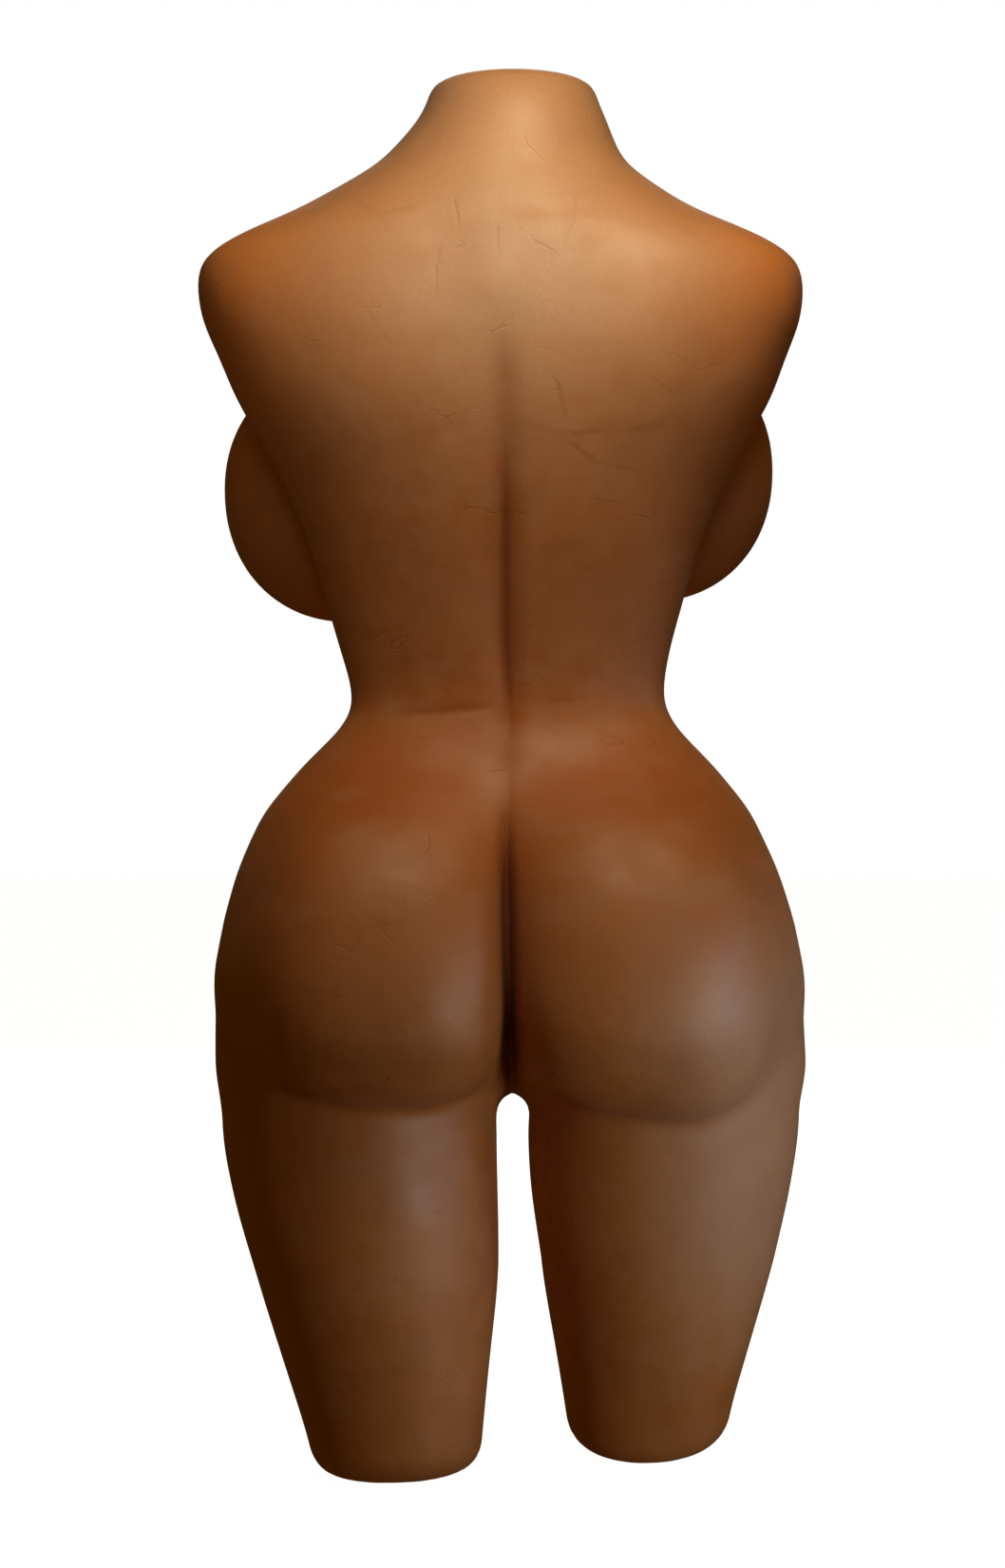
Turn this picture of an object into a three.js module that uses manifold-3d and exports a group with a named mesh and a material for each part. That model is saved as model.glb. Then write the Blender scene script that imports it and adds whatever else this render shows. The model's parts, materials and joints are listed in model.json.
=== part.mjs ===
// Soft-skin body mannequin: a headless, armless torso with thigh stumps.
// A jointed steel frame is wrapped in foam cores, and a thick elastomer flesh is cast round both.
// Millimetres, +Z up, chest towards -Y, the mannequin's left towards +X.
// The origin lies under the middle of the bounding box, at the height of the lowest thigh end.
import * as THREE from "three";
import { ConvexGeometry } from "three/addons/geometries/ConvexGeometry.js";
import { mergeVertices } from "three/addons/utils/BufferGeometryUtils.js";
import Module from "manifold-3d";

const wasm = await Module();
wasm.setup();

// ---------------------------------------------------------------- driving dimensions

const HIP = { x: 90, y: 0, z: 310 }; // where the flexion pins cross the thighs' own axes
const SPREAD_DROP = 28; // the spreading pin lies this far below the flexion pin
const WAIST_Z = 496;
const SHOULDER_Z = 752;
const NECK_TOP_Z = 893;
const CROTCH_Z = 240;
const THIGH_TOP_Z = 214;

// The stance at rest, in degrees from legs hanging straight down.
const STANCE = {
  left: { flex: 0, spread: -1.5 },
  right: { flex: 12, spread: 2.5 },
};
// Travel of the hips from hanging straight, with 2 degrees to spare, which the flesh round them has to clear.
const HIP_TRAVEL = { flex: [-12, 62], spread: [-7, 32] };

const SIDES = [
  ["left", 1],
  ["right", -1],
];

const RUNNING_GAP = 0.3; // between a pin and its bore, or two faces that slide
const WELD_GAP = 0.2; // between pieces that are welded or glued face to face
const ROUND = 20; // sides of a turned part
const BIG = 900; // a size beyond the whole body, for cutting boxes

// Body sections: [height, half width, depth in front of the hip axis, depth behind it, squareness].
const TRUNK = [
  [893, 40, 30, 38, 2.0],
  [884, 53, 40, 52, 2.0],
  [868, 61, 47, 63, 2.0],
  [850, 71, 51, 69, 2.0],
  [834, 86, 54, 73, 2.0],
  [812, 126, 59, 80, 2.15],
  [790, 176, 66, 87, 2.35],
  [772, 192.5, 71, 92, 2.5],
  [750, 194, 77, 96, 2.5],
  [715, 183, 88, 99, 2.4],
  [675, 163, 94, 96, 2.3],
  [630, 139, 95, 86, 2.25],
  [590, 124, 93, 73, 2.2],
  [550, 112, 88, 60, 2.2],
  [520, 104, 83, 50, 2.2],
  [496, 100.5, 80, 45, 2.2],
  [480, 107, 82, 46, 2.2],
  [455, 130, 87, 56, 2.2],
  [420, 155, 91, 76, 2.2],
  [380, 172, 92, 90, 2.25],
  [340, 183, 92, 96, 2.3],
  [300, 188, 90, 95, 2.3],
  [262, 188, 83, 88, 2.3],
  [240, 187, 74, 82, 2.3],
];
// Thigh sections, hanging straight: [height, distance of its middle from the body's middle, half width, half depth].
const THIGH = [
  [214, 97.5, 88, 87],
  [172, 94, 84, 85],
  [118, 88.5, 75.5, 77],
  [64, 84, 64, 66],
  [28, 81, 56.5, 59],
  [12, 80, 49, 52],
  [3, 79.5, 40, 42],
  [0, 79.5, 33, 35],
];
// Rounded masses: middle, radii, how far each leans towards the spine for its height above its middle, and its join.
const BREAST = { x: 105, y: -112, z: 646, rx: 84, ry: 84, rz: 88, lean: 0.5, blend: 30 };
const BUTTOCK = { x: 82, y: 50, z: 332, rx: 90, ry: 92, rz: 92, lean: 0, blend: 40 };
const CLEFT_BLEND = 10; // rounding of the valley between the buttocks, and between the breasts
const CELL = 19; // size of the grid that the flesh is sampled on

// ---------------------------------------------------------------- materials

function finish(color, roughness, metalness = 0) {
  return new THREE.MeshStandardMaterial({ color, roughness, metalness });
}

const SKIN = finish(0xa86a3c, 0.5);
const FOAM = finish(0xe8dcb8, 0.95);
const STEEL = finish(0x9a9da0, 0.35, 1);
const ZINC = finish(0xb9bcc0, 0.3, 1);
const PLASTIC = finish(0x2b2b2d, 0.6);
const FIBRE = finish(0x7d4a2a, 0.85);

// ---------------------------------------------------------------- solids

// A closed three.js geometry as a manifold-3d solid.
function solid(geometry) {
  const bare = geometry.clone();
  bare.deleteAttribute("normal");
  bare.deleteAttribute("uv");
  const merged = mergeVertices(bare, 1e-4);
  return new wasm.Manifold(
    new wasm.Mesh({
      numProp: 3,
      vertProperties: merged.attributes.position.array,
      triVerts: new Uint32Array(merged.index.array),
    }),
  );
}

// A solid as a named three.js mesh.
function piece(name, body, material) {
  const { numProp, vertProperties, triVerts } = body.getMesh();
  const points = new Float32Array((vertProperties.length / numProp) * 3);
  for (let i = 0; i < points.length / 3; i++)
    points.set(vertProperties.subarray(i * numProp, i * numProp + 3), i * 3);
  const geometry = new THREE.BufferGeometry();
  geometry.setAttribute("position", new THREE.BufferAttribute(points, 3));
  geometry.setIndex(new THREE.BufferAttribute(new Uint32Array(triVerts), 1));
  const mesh = new THREE.Mesh(geometry.toNonIndexed(), material);
  mesh.geometry.computeVertexNormals();
  mesh.name = name;
  return mesh;
}

function union(...bodies) {
  return bodies.reduce((a, b) => a.add(b));
}

function box(x, y, z, at) {
  return solid(new THREE.BoxGeometry(x, y, z).translate(...at));
}

const TURNS = {
  x: (g) => g.rotateZ(-Math.PI / 2),
  y: (g) => g,
  z: (g) => g.rotateX(Math.PI / 2),
};

// A cylinder with its middle at a point and its axis along x, y or z.
function rod(axis, radius, length, at, sides = ROUND) {
  const shape = new THREE.CylinderGeometry(radius, radius, length, sides);
  return solid(TURNS[axis](shape).translate(...at));
}

// Values between the rows of a table by a Catmull-Rom curve on the row's first column.
function rowAt(table, height) {
  const last = table.length - 1;
  const below = table.findIndex((row) => row[0] <= height);
  const i = Math.min(Math.max(below, 1), last);
  const rows = [i - 2, i - 1, i, i + 1].map(
    (k) => table[Math.min(Math.max(k, 0), last)],
  );
  const t = (rows[1][0] - height) / (rows[1][0] - rows[2][0]);
  return rows[1].map((_, c) => {
    const [a, b, d, e] = rows.map((row) => row[c]);
    const rise = (d - a) / 2;
    const fall = (e - b) / 2;
    const cubic = (2 * b - 2 * d + rise + fall) * t ** 3;
    const square = (3 * d - 3 * b - 2 * rise - fall) * t ** 2;
    return cubic + square + rise * t + b;
  });
}

// One closed ring of points: a superellipse with its own depth in front and behind.
function ring(z, cx, halfWidth, front, back, squareness, sides) {
  return Array.from({ length: sides }, (_, i) => {
    const a = (2 * Math.PI * i) / sides;
    const power = 2 / squareness;
    const c = Math.sign(Math.cos(a)) * Math.abs(Math.cos(a)) ** power;
    const s = Math.sign(Math.sin(a)) * Math.abs(Math.sin(a)) ** power;
    return new THREE.Vector3(cx + halfWidth * c, (s < 0 ? front : back) * s, z);
  });
}

// A closed loft through rings given from the top down.
function loft(rings) {
  const sides = rings[0].length;
  const middles = [rings[0], rings.at(-1)].map((points) =>
    points
      .reduce((sum, p) => sum.add(p), new THREE.Vector3())
      .divideScalar(sides),
  );
  const points = [...rings.flat(), ...middles];
  const top = points.length - 2;
  const bottom = points.length - 1;
  const faces = [];
  for (let i = 0; i < sides; i++) {
    const j = (i + 1) % sides;
    faces.push(top, i, j);
    for (let r = 0; r < rings.length - 1; r++) {
      const upper = r * sides;
      const lower = upper + sides;
      faces.push(upper + i, lower + i, lower + j);
      faces.push(upper + i, lower + j, upper + j);
    }
    const end = (rings.length - 1) * sides;
    faces.push(bottom, end + j, end + i);
  }
  const geometry = new THREE.BufferGeometry().setFromPoints(points);
  geometry.setIndex(faces);
  return solid(geometry);
}

// Heights from top to bottom, evenly spaced.
function heights(top, bottom, count) {
  return Array.from(
    { length: count },
    (_, i) => top + ((bottom - top) * i) / (count - 1),
  );
}

// The trunk between two heights, drawn in by an inset all round.
function trunk(levels, inset = 0, sides = 32) {
  return loft(
    levels.map((z) => {
      const [, w, front, back, squareness] = rowAt(TRUNK, z);
      return ring(z, 0, w - inset, front - inset, back - inset, squareness, sides);
    }),
  );
}

// One thigh between two heights, hanging straight, drawn in by an inset all round.
function thigh(side, levels, inset = 0, sides = 26) {
  return loft(
    levels.map((z) => {
      const [, x, w, depth] = rowAt(THIGH, z);
      return ring(z, side * x, w - inset, depth - inset, depth - inset, 2.1, sides);
    }),
  );
}

// The lower of two distances, with the valley between them rounded over a width.
function blended(a, b, width) {
  const h = Math.max(width - Math.abs(a - b), 0) / width;
  return Math.min(a, b) - (h * h * width) / 4;
}

// Roughly how far a point lies outside the trunk's sections.
function outsideTrunk(x, y, z) {
  const level = Math.min(Math.max(z, TRUNK.at(-1)[0]), TRUNK[0][0]);
  const [, w, front, back, squareness] = rowAt(TRUNK, level);
  const depth = y < 0 ? front : back;
  const powers =
    Math.abs(x / w) ** squareness + Math.abs(y / depth) ** squareness;
  const reach = Math.max(powers ** (1 / squareness), 1e-3);
  const side = Math.hypot(x, y) * (1 - 1 / reach);
  return Math.max(side, z - TRUNK[0][0], TRUNK.at(-1)[0] - z);
}

// Roughly how far a point lies outside a pair of mirrored ellipsoids.
function outsidePair(pair, x, y, z) {
  const one = (side) => {
    const dx = x - side * pair.x;
    const dz = z - pair.z;
    const dy = y - pair.y - pair.lean * Math.max(dz, 0);
    const reach = Math.hypot(dx / pair.rx, dy / pair.ry, dz / pair.rz);
    return Math.hypot(dx, dy, dz) * (1 - 1 / Math.max(reach, 1e-3));
  };
  return blended(one(1), one(-1), CLEFT_BLEND);
}

// The flesh of the trunk with one pair of rounded masses, between two heights.
function flesh(pair, low, high) {
  return (x, y, z) => {
    const body = blended(
      outsideTrunk(x, y, z),
      outsidePair(pair, x, y, z),
      pair.blend,
    );
    return Math.max(body, z - high, low - z);
  };
}

// A closed solid round the points where a field is negative, by surface nets on a grid.
function sampled(field, low, high) {
  const counts = low.map((v, i) => Math.ceil((high[i] - v) / CELL) + 1);
  const [nx, ny, nz] = counts;
  const at = (i, j, k) => i + nx * (j + ny * k);
  const spot = (i, j, k) => [i, j, k].map((n, c) => low[c] + n * CELL);
  const values = new Float64Array(nx * ny * nz);
  for (let k = 0; k < nz; k++)
    for (let j = 0; j < ny; j++)
      for (let i = 0; i < nx; i++) values[at(i, j, k)] = field(...spot(i, j, k));
  const steps = [
    [1, 0, 0],
    [0, 1, 0],
    [0, 0, 1],
  ];
  const corners = [0, 1].flatMap((c) =>
    [0, 1].flatMap((b) => [0, 1].map((a) => [a, b, c])),
  );
  const vertexOf = new Map();
  const points = [];

  // One vertex for each cell that the surface passes through, at the mean of its edge crossings.
  function vertex(i, j, k) {
    const key = at(i, j, k);
    if (vertexOf.has(key)) return vertexOf.get(key);
    const sum = new THREE.Vector3();
    let crossings = 0;
    for (const [a, b, c] of corners)
      steps.forEach(([dx, dy, dz], axis) => {
        if ([a, b, c][axis]) return;
        const from = values[at(i + a, j + b, k + c)];
        const to = values[at(i + a + dx, j + b + dy, k + c + dz)];
        if (from < 0 === to < 0) return;
        const t = from / (from - to);
        const start = spot(i + a, j + b, k + c);
        start[axis] += t * CELL;
        sum.add(new THREE.Vector3(...start));
        crossings++;
      });
    vertexOf.set(key, points.length);
    points.push(settle(field, sum.divideScalar(crossings)));
    return points.length - 1;
  }

  const faces = [];
  for (let k = 1; k < nz - 1; k++)
    for (let j = 1; j < ny - 1; j++)
      for (let i = 1; i < nx - 1; i++)
        steps.forEach(([dx, dy, dz], axis) => {
          const inside = values[at(i, j, k)] < 0;
          const next = values[at(i + dx, j + dy, k + dz)] < 0;
          if (inside === next) return;
          const [u, v] = [steps[(axis + 1) % 3], steps[(axis + 2) % 3]];
          const cell = (a, b) =>
            vertex(
              i - a * u[0] - b * v[0],
              j - a * u[1] - b * v[1],
              k - a * u[2] - b * v[2],
            );
          const quad = [cell(1, 1), cell(0, 1), cell(0, 0), cell(1, 0)];
          if (!inside) quad.reverse();
          faces.push(quad[0], quad[1], quad[2], quad[0], quad[2], quad[3]);
        });
  const geometry = new THREE.BufferGeometry().setFromPoints(points);
  geometry.setIndex(faces);
  return solid(geometry);
}

// Moves a point along the field's slope on to the surface, by less than half a cell.
function settle(field, point) {
  const start = point.clone();
  const h = 0.5;
  for (let round = 0; round < 4; round++) {
    const { x, y, z } = point;
    const value = field(x, y, z);
    const slope = new THREE.Vector3(
      (field(x + h, y, z) - field(x - h, y, z)) / (2 * h),
      (field(x, y + h, z) - field(x, y - h, z)) / (2 * h),
      (field(x, y, z + h) - field(x, y, z - h)) / (2 * h),
    );
    point.addScaledVector(slope, -value / Math.max(slope.lengthSq(), 0.2));
  }
  const moved = point.clone().sub(start).clampLength(0, CELL / 2);
  return start.add(moved);
}

// A box that removes everything beyond a sloping plane: through a point, facing away along a direction.
function beyond(point, direction) {
  const away = new THREE.Vector3(...direction).normalize();
  const turn = new THREE.Quaternion().setFromUnitVectors(
    new THREE.Vector3(0, 0, 1),
    away,
  );
  const block = new THREE.BoxGeometry(BIG, BIG, BIG).translate(0, 0, BIG / 2);
  return solid(block.applyQuaternion(turn).translate(...point));
}

// ---------------------------------------------------------------- hip motion

// Turns a point of a straight-hanging leg to a flexion (thigh forward) and a spread (thigh outward).
function legTurn(side, flex, spread) {
  const rad = THREE.MathUtils.degToRad;
  const place = (x, y, z) => new THREE.Matrix4().makeTranslation(x, y, z);
  const pin = [side * HIP.x, HIP.y, HIP.z];
  const lower = [side * HIP.x, HIP.y, HIP.z - SPREAD_DROP];
  const back = (p) => place(...p.map((v) => -v));
  return place(...pin)
    .multiply(new THREE.Matrix4().makeRotationX(rad(-flex)))
    .multiply(back(pin))
    .multiply(place(...lower))
    .multiply(new THREE.Matrix4().makeRotationY(rad(-side * spread)))
    .multiply(back(lower));
}

// The space that the hip's hardware and the thigh rod sweep, as one convex pocket.
function hipPocket(side) {
  const reach = 150;
  const clear = 15;
  const hub = 36;
  const points = new THREE.SphereGeometry(hub, 8, 6).attributes.position;
  const cloud = [];
  for (let i = 0; i < points.count; i++)
    cloud.push(
      new THREE.Vector3()
        .fromBufferAttribute(points, i)
        .add(new THREE.Vector3(side * HIP.x, HIP.y, HIP.z)),
    );
  const [backLimit, frontLimit] = HIP_TRAVEL.flex;
  const flexes = [backLimit, (backLimit + frontLimit) / 2, frontLimit];
  for (const flex of flexes)
    for (const spread of HIP_TRAVEL.spread)
      for (const dx of [-clear, clear])
        for (const dy of [-clear, clear])
          cloud.push(
            new THREE.Vector3(
              side * HIP.x + dx,
              HIP.y + dy,
              HIP.z - reach,
            ).applyMatrix4(legTurn(side, flex, spread)),
          );
  return solid(new ConvexGeometry(cloud));
}

// ---------------------------------------------------------------- chest

const SPINE_R = 12.5;
const BAR_R = 11;
const SHOULDER_BAR_END = 138;
const HUB = { x: 44, y: 34, z: 44 };
const NECK_POST_TOP = 866;
const PLATE_T = 5;
const TONGUE = { radius: 13, top: WAIST_Z + 34 };
const FLESH_END = { chest: 485, pelvis: 510 }; // each runs past the waist before it is trimmed
const FLESH = 26; // thickness of cast flesh over the foam cores
const CHEST_CUT = { front: WAIST_Z + 35, slope: -0.187 };
const PELVIS_CUT = { front: WAIST_Z - 26, slope: 0.106 };
const CHEST_CORE = { top: 812, bottom: 545 };

function shoulderBar(side) {
  const from = HUB.x / 2 + WELD_GAP;
  const length = SHOULDER_BAR_END - from;
  return rod("x", BAR_R, length, [side * (from + length / 2), 0, SHOULDER_Z]);
}

// A dome-ended cap pushed over the end of a shoulder bar.
function shoulderCap(side) {
  const wall = 5;
  const depth = 24;
  const inner = BAR_R + RUNNING_GAP;
  const outer = inner + wall;
  const profile = [new THREE.Vector2(0, 0)];
  profile.push(new THREE.Vector2(inner, 0));
  profile.push(new THREE.Vector2(inner, -depth));
  profile.push(new THREE.Vector2(outer, -depth));
  const steps = 5;
  for (let i = 0; i <= steps; i++) {
    const a = (Math.PI / 2) * (i / steps);
    profile.push(new THREE.Vector2(outer * Math.cos(a), outer * Math.sin(a)));
  }
  const cup = new THREE.LatheGeometry(profile, ROUND);
  const turned = cup.rotateZ((-side * Math.PI) / 2);
  return solid(turned.translate(side * (SHOULDER_BAR_END + WELD_GAP), 0, SHOULDER_Z));
}

function chestSkin() {
  const [low, high] = [FLESH_END.chest, NECK_TOP_Z];
  const outer = sampled(
    flesh(BREAST, low, high),
    [-216, -232, low - 1.5 * CELL],
    [216, 120, high + 1.5 * CELL],
  );
  const cut = beyond([0, -84, CHEST_CUT.front], [0, CHEST_CUT.slope, -1]);
  return outer.subtract(chestHollow(0)).subtract(cut);
}

// The space inside the chest's flesh, which runs out of its lower end; grown or drawn in by a margin.
function chestHollow(margin) {
  const rings = heights(CHEST_CORE.top - margin, 500, 9);
  const post = rod("z", 34 - margin, 90, [0, 0, 790], 18);
  const top = rod("z", 34 - margin, 80, [0, 6, NECK_POST_TOP - 34], 18);
  return union(trunk(rings, FLESH + margin, 24), post, top);
}

function chestFoam() {
  const gap = RUNNING_GAP;
  const frame = union(
    rod("z", SPINE_R + gap, 260, [0, 0, 640]),
    box(HUB.x + 2 * gap, HUB.y + 2 * gap, HUB.z + 2 * gap, [0, 0, SHOULDER_Z]),
    rod("x", BAR_R + gap, 2 * SHOULDER_BAR_END, [0, 0, SHOULDER_Z]),
    rod("x", 17, 340, [0, 0, SHOULDER_Z]).subtract(
      box(2 * (SHOULDER_BAR_END - 25), 60, 60, [0, 0, SHOULDER_Z]),
    ),
    rod("z", BAR_R + gap, 120, [0, 0, 820]),
    rod("z", 31, 20, [0, 4, NECK_POST_TOP + 5]),
  );
  const lower = beyond([0, 0, CHEST_CORE.bottom], [0, 0, -1]);
  return chestHollow(gap).subtract(frame).subtract(lower);
}

function waistTongue() {
  const { radius, top } = TONGUE;
  const length = top - WAIST_Z;
  return union(
    rod("x", radius, SWIVEL_WIDTH, [0, 0, WAIST_Z]),
    box(SWIVEL_WIDTH, 2 * radius, length, [0, 0, WAIST_Z + length / 2]),
  ).subtract(rod("x", 6 + RUNNING_GAP, 60, [0, 0, WAIST_Z]));
}

function buildChest() {
  const group = new THREE.Group();
  const spineFrom = TONGUE.top + WELD_GAP;
  const spineTo = SHOULDER_Z - HUB.z / 2 - WELD_GAP;
  const postFrom = SHOULDER_Z + HUB.z / 2 + WELD_GAP;
  group.add(
    piece("chest_skin", chestSkin(), SKIN),
    piece("chest_foam_core", chestFoam(), FOAM),
    piece("chest_hub_block", box(HUB.x, HUB.y, HUB.z, [0, 0, SHOULDER_Z]), STEEL),
    piece("upper_spine_tube", between("z", SPINE_R, spineFrom, spineTo), STEEL),
    piece("neck_post", between("z", BAR_R, postFrom, NECK_POST_TOP), STEEL),
    piece(
      "neck_end_plate",
      rod("z", 28, PLATE_T, [0, 4, NECK_POST_TOP + WELD_GAP + PLATE_T / 2]),
      STEEL,
    ),
    piece("waist_tongue", waistTongue(), STEEL),
  );
  for (const [name, side] of SIDES)
    group.add(
      piece(`${name}_shoulder_bar`, shoulderBar(side), STEEL),
      piece(`${name}_shoulder_cap`, shoulderCap(side), PLASTIC),
    );
  return group;
}

// A vertical rod on the body's middle between two heights.
function between(axis, radius, from, to) {
  return rod(axis, radius, to - from, [0, 0, (from + to) / 2]);
}

// ---------------------------------------------------------------- waist hinge and pelvis

const WASHER_T = 1.5;
const SWIVEL_WIDTH = 26; // the tongue and the yokes, between their forks' ears
const EAR = {
  gap: SWIVEL_WIDTH + 2 * WASHER_T + 4 * RUNNING_GAP,
  thickness: 5,
  radius: 14,
};
const PIN_R = 6;
const NUT = { radius: 10, thickness: 8 };
const CROSSBAR = { x: 216, y: 25, z: 25, bottom: HIP.z + 33 };
const BRACKET = { web: 5, top: HIP.z + 33 - WELD_GAP };

// A fork: two ears on either side of a pin, joined by a web. The pin lies along x, and the web is below or above it.
function fork(centre, webAt, depth) {
  const half = EAR.gap / 2 + EAR.thickness / 2;
  const toWeb = webAt - centre[2];
  const ears = [1, -1].map((s) => {
    const at = [centre[0] + s * half, centre[1], centre[2]];
    const mid = [at[0], at[1], centre[2] + toWeb / 2];
    return union(
      rod("x", EAR.radius, EAR.thickness, at),
      box(EAR.thickness, 2 * EAR.radius, Math.abs(toWeb), mid),
    );
  });
  const width = EAR.gap + 2 * EAR.thickness;
  const web = box(width, depth, BRACKET.web, [centre[0], centre[1], webAt]);
  const bore = rod("x", PIN_R + RUNNING_GAP, 80, centre);
  return union(...ears, web).subtract(bore);
}

// A bolt along x: a shank with a hexagonal head at its inner end.
function bolt(centre, side, length) {
  const head = [centre[0] - side * (length / 2 + 3), centre[1], centre[2]];
  return union(
    rod("x", PIN_R, length, centre),
    rod("x", NUT.radius, 6.02, head, 6),
  );
}

function nut(centre) {
  return rod("x", NUT.radius, NUT.thickness, centre, 6).subtract(
    rod("x", PIN_R + RUNNING_GAP, 20, centre),
  );
}

// A friction washer between a swivel's face and a fork's ear.
function washer(axis, centre, pinRadius) {
  return rod(axis, 11, WASHER_T, centre, 16).subtract(
    rod(axis, pinRadius + RUNNING_GAP, 10, centre, 16),
  );
}

// How far a washer's middle lies from the middle of the swivel it rubs on.
const WASHER_AT = SWIVEL_WIDTH / 2 + RUNNING_GAP + WASHER_T / 2;
const ENDS = [
  ["outer", 1],
  ["inner", -1],
];

function pelvisHollow(margin) {
  return trunk(heights(500, 376 + margin, 7), FLESH + margin, 24);
}

function pelvisSkin() {
  const outer = sampled(
    flesh(BUTTOCK, CROTCH_Z, FLESH_END.pelvis),
    [-216, -120, CROTCH_Z - 1.5 * CELL],
    [216, 184, FLESH_END.pelvis + 1.5 * CELL],
  );
  const barSlot = box(CROSSBAR.x + 2, 29, 42, [0, 0, CROSSBAR.bottom + 15]);
  const top = beyond([0, -82, PELVIS_CUT.front], [0, -PELVIS_CUT.slope, 1]);
  let skin = outer
    .subtract(pelvisHollow(0))
    .subtract(barSlot)
    .subtract(top);
  for (const [, side] of SIDES) {
    const corner = beyond([side * 130, 0, CROTCH_Z], [side * 0.6, 0, -1]);
    const bracketSlot = box(74, 40, 50, [side * HIP.x, 0, HIP.z + 12]);
    const pocket = union(hipPocket(side), bracketSlot);
    skin = skin.subtract(pocket).subtract(corner);
  }
  const groin = beyond([0, -45, CROTCH_Z], [0, -1, -1]);
  return skin.subtract(groin);
}

function pelvisFoam() {
  const lower = rod("z", SPINE_R + RUNNING_GAP, 200, [0, 0, 420]);
  const top = beyond([0, 0, WAIST_Z - 44], [0, 0, 1]);
  return pelvisHollow(RUNNING_GAP).subtract(lower).subtract(top);
}

// A triangular stiffener between the lower spine tube and the crossbar.
function gusset(side) {
  const shape = new THREE.Shape();
  const foot = SPINE_R + 0.5;
  shape.moveTo(foot, 0);
  shape.lineTo(foot + 26, 0);
  shape.lineTo(foot, 22);
  const plate = new THREE.ExtrudeGeometry(shape, {
    depth: 5,
    bevelEnabled: false,
  });
  plate.rotateX(Math.PI / 2).translate(0, 2.5, 0);
  if (side < 0) plate.rotateZ(Math.PI);
  const floor = CROSSBAR.bottom + CROSSBAR.z + WELD_GAP;
  return solid(plate.translate(0, 0, floor));
}

function buildPelvis() {
  const group = new THREE.Group();
  const barMiddle = CROSSBAR.bottom + CROSSBAR.z / 2;
  const forkWeb = WAIST_Z - 30;
  const spineFrom = CROSSBAR.bottom + CROSSBAR.z + WELD_GAP;
  const spineTo = forkWeb - BRACKET.web / 2 - WELD_GAP;
  const earOut = EAR.gap / 2 + EAR.thickness;
  const waist = [0, 0, WAIST_Z];
  group.add(
    piece("pelvis_skin", pelvisSkin(), SKIN),
    piece("pelvis_foam_core", pelvisFoam(), FOAM),
    piece("lower_spine_tube", between("z", SPINE_R, spineFrom, spineTo), STEEL),
    piece(
      "pelvis_crossbar",
      box(CROSSBAR.x, CROSSBAR.y, CROSSBAR.z, [0, 0, barMiddle]),
      STEEL,
    ),
    piece("waist_fork", fork(waist, forkWeb, 28), STEEL),
    piece("waist_bolt", bolt(waist, 1, 2 * earOut + 14), ZINC),
    piece("waist_nut", nut([earOut + 0.3 + NUT.thickness / 2, 0, WAIST_Z]), ZINC),
  );
  for (const [name, side] of SIDES)
    group.add(
      piece(
        `waist_${name}_washer`,
        washer("x", [side * WASHER_AT, 0, WAIST_Z], PIN_R),
        FIBRE,
      ),
    );
  for (const [name, side] of SIDES) {
    const hip = [side * HIP.x, HIP.y, HIP.z];
    const outside = side * (HIP.x + earOut + 0.3 + NUT.thickness / 2);
    group.add(
      piece(`${name}_hip_bracket`, fork(hip, BRACKET.top - 2.5, 30), STEEL),
      piece(`${name}_hip_flexion_bolt`, bolt(hip, side, 2 * earOut + 14), ZINC),
      piece(`${name}_hip_flexion_nut`, nut([outside, HIP.y, HIP.z]), ZINC),
    );
    for (const [end, way] of ENDS) {
      const at = [side * (HIP.x + way * WASHER_AT), HIP.y, HIP.z];
      const title = `${name}_hip_${end}_flexion_washer`;
      group.add(piece(title, washer("x", at, PIN_R), FIBRE));
    }
  }
  return group;
}

// ---------------------------------------------------------------- hips and thighs

const YOKE_R = 12.8;
const SPREAD_PIN_R = 5;
const THIGH_ROD_R = 9;
const THIGH_FORK_WEB = HIP.z - SPREAD_DROP - 30;
const END_PLATE_Z = 24;
const THIGH_CORE = { top: THIGH_TOP_Z - 8, bottom: 42, inset: 32 };

// The swivel block: one bore along x for the flexion bolt and one along y, below it, for the spreading pin.
function hipYoke(side) {
  const x = side * HIP.x;
  const low = HIP.z - SPREAD_DROP;
  return union(
    rod("x", YOKE_R, SWIVEL_WIDTH, [x, 0, HIP.z]),
    box(SWIVEL_WIDTH, 2 * YOKE_R, SPREAD_DROP, [x, 0, (HIP.z + low) / 2]),
    rod("y", SWIVEL_WIDTH / 2, SWIVEL_WIDTH, [x, 0, low]),
  )
    .subtract(rod("x", PIN_R + RUNNING_GAP, 60, [x, 0, HIP.z]))
    .subtract(rod("y", SPREAD_PIN_R + RUNNING_GAP, 60, [x, 0, low]));
}

function spreadPin(side) {
  const at = [side * HIP.x, 0, HIP.z - SPREAD_DROP];
  return union(
    rod("y", SPREAD_PIN_R, 54, [at[0], 1, at[2]]),
    rod("y", 8.5, 5.02, [at[0], -28, at[2]], 6),
  );
}

function spreadNut(side) {
  const at = [side * HIP.x, EAR.gap / 2 + 5.3 + 2.5, HIP.z - SPREAD_DROP];
  return rod("y", 8.5, 5, at, 6).subtract(
    rod("y", SPREAD_PIN_R + RUNNING_GAP, 20, at),
  );
}

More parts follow.
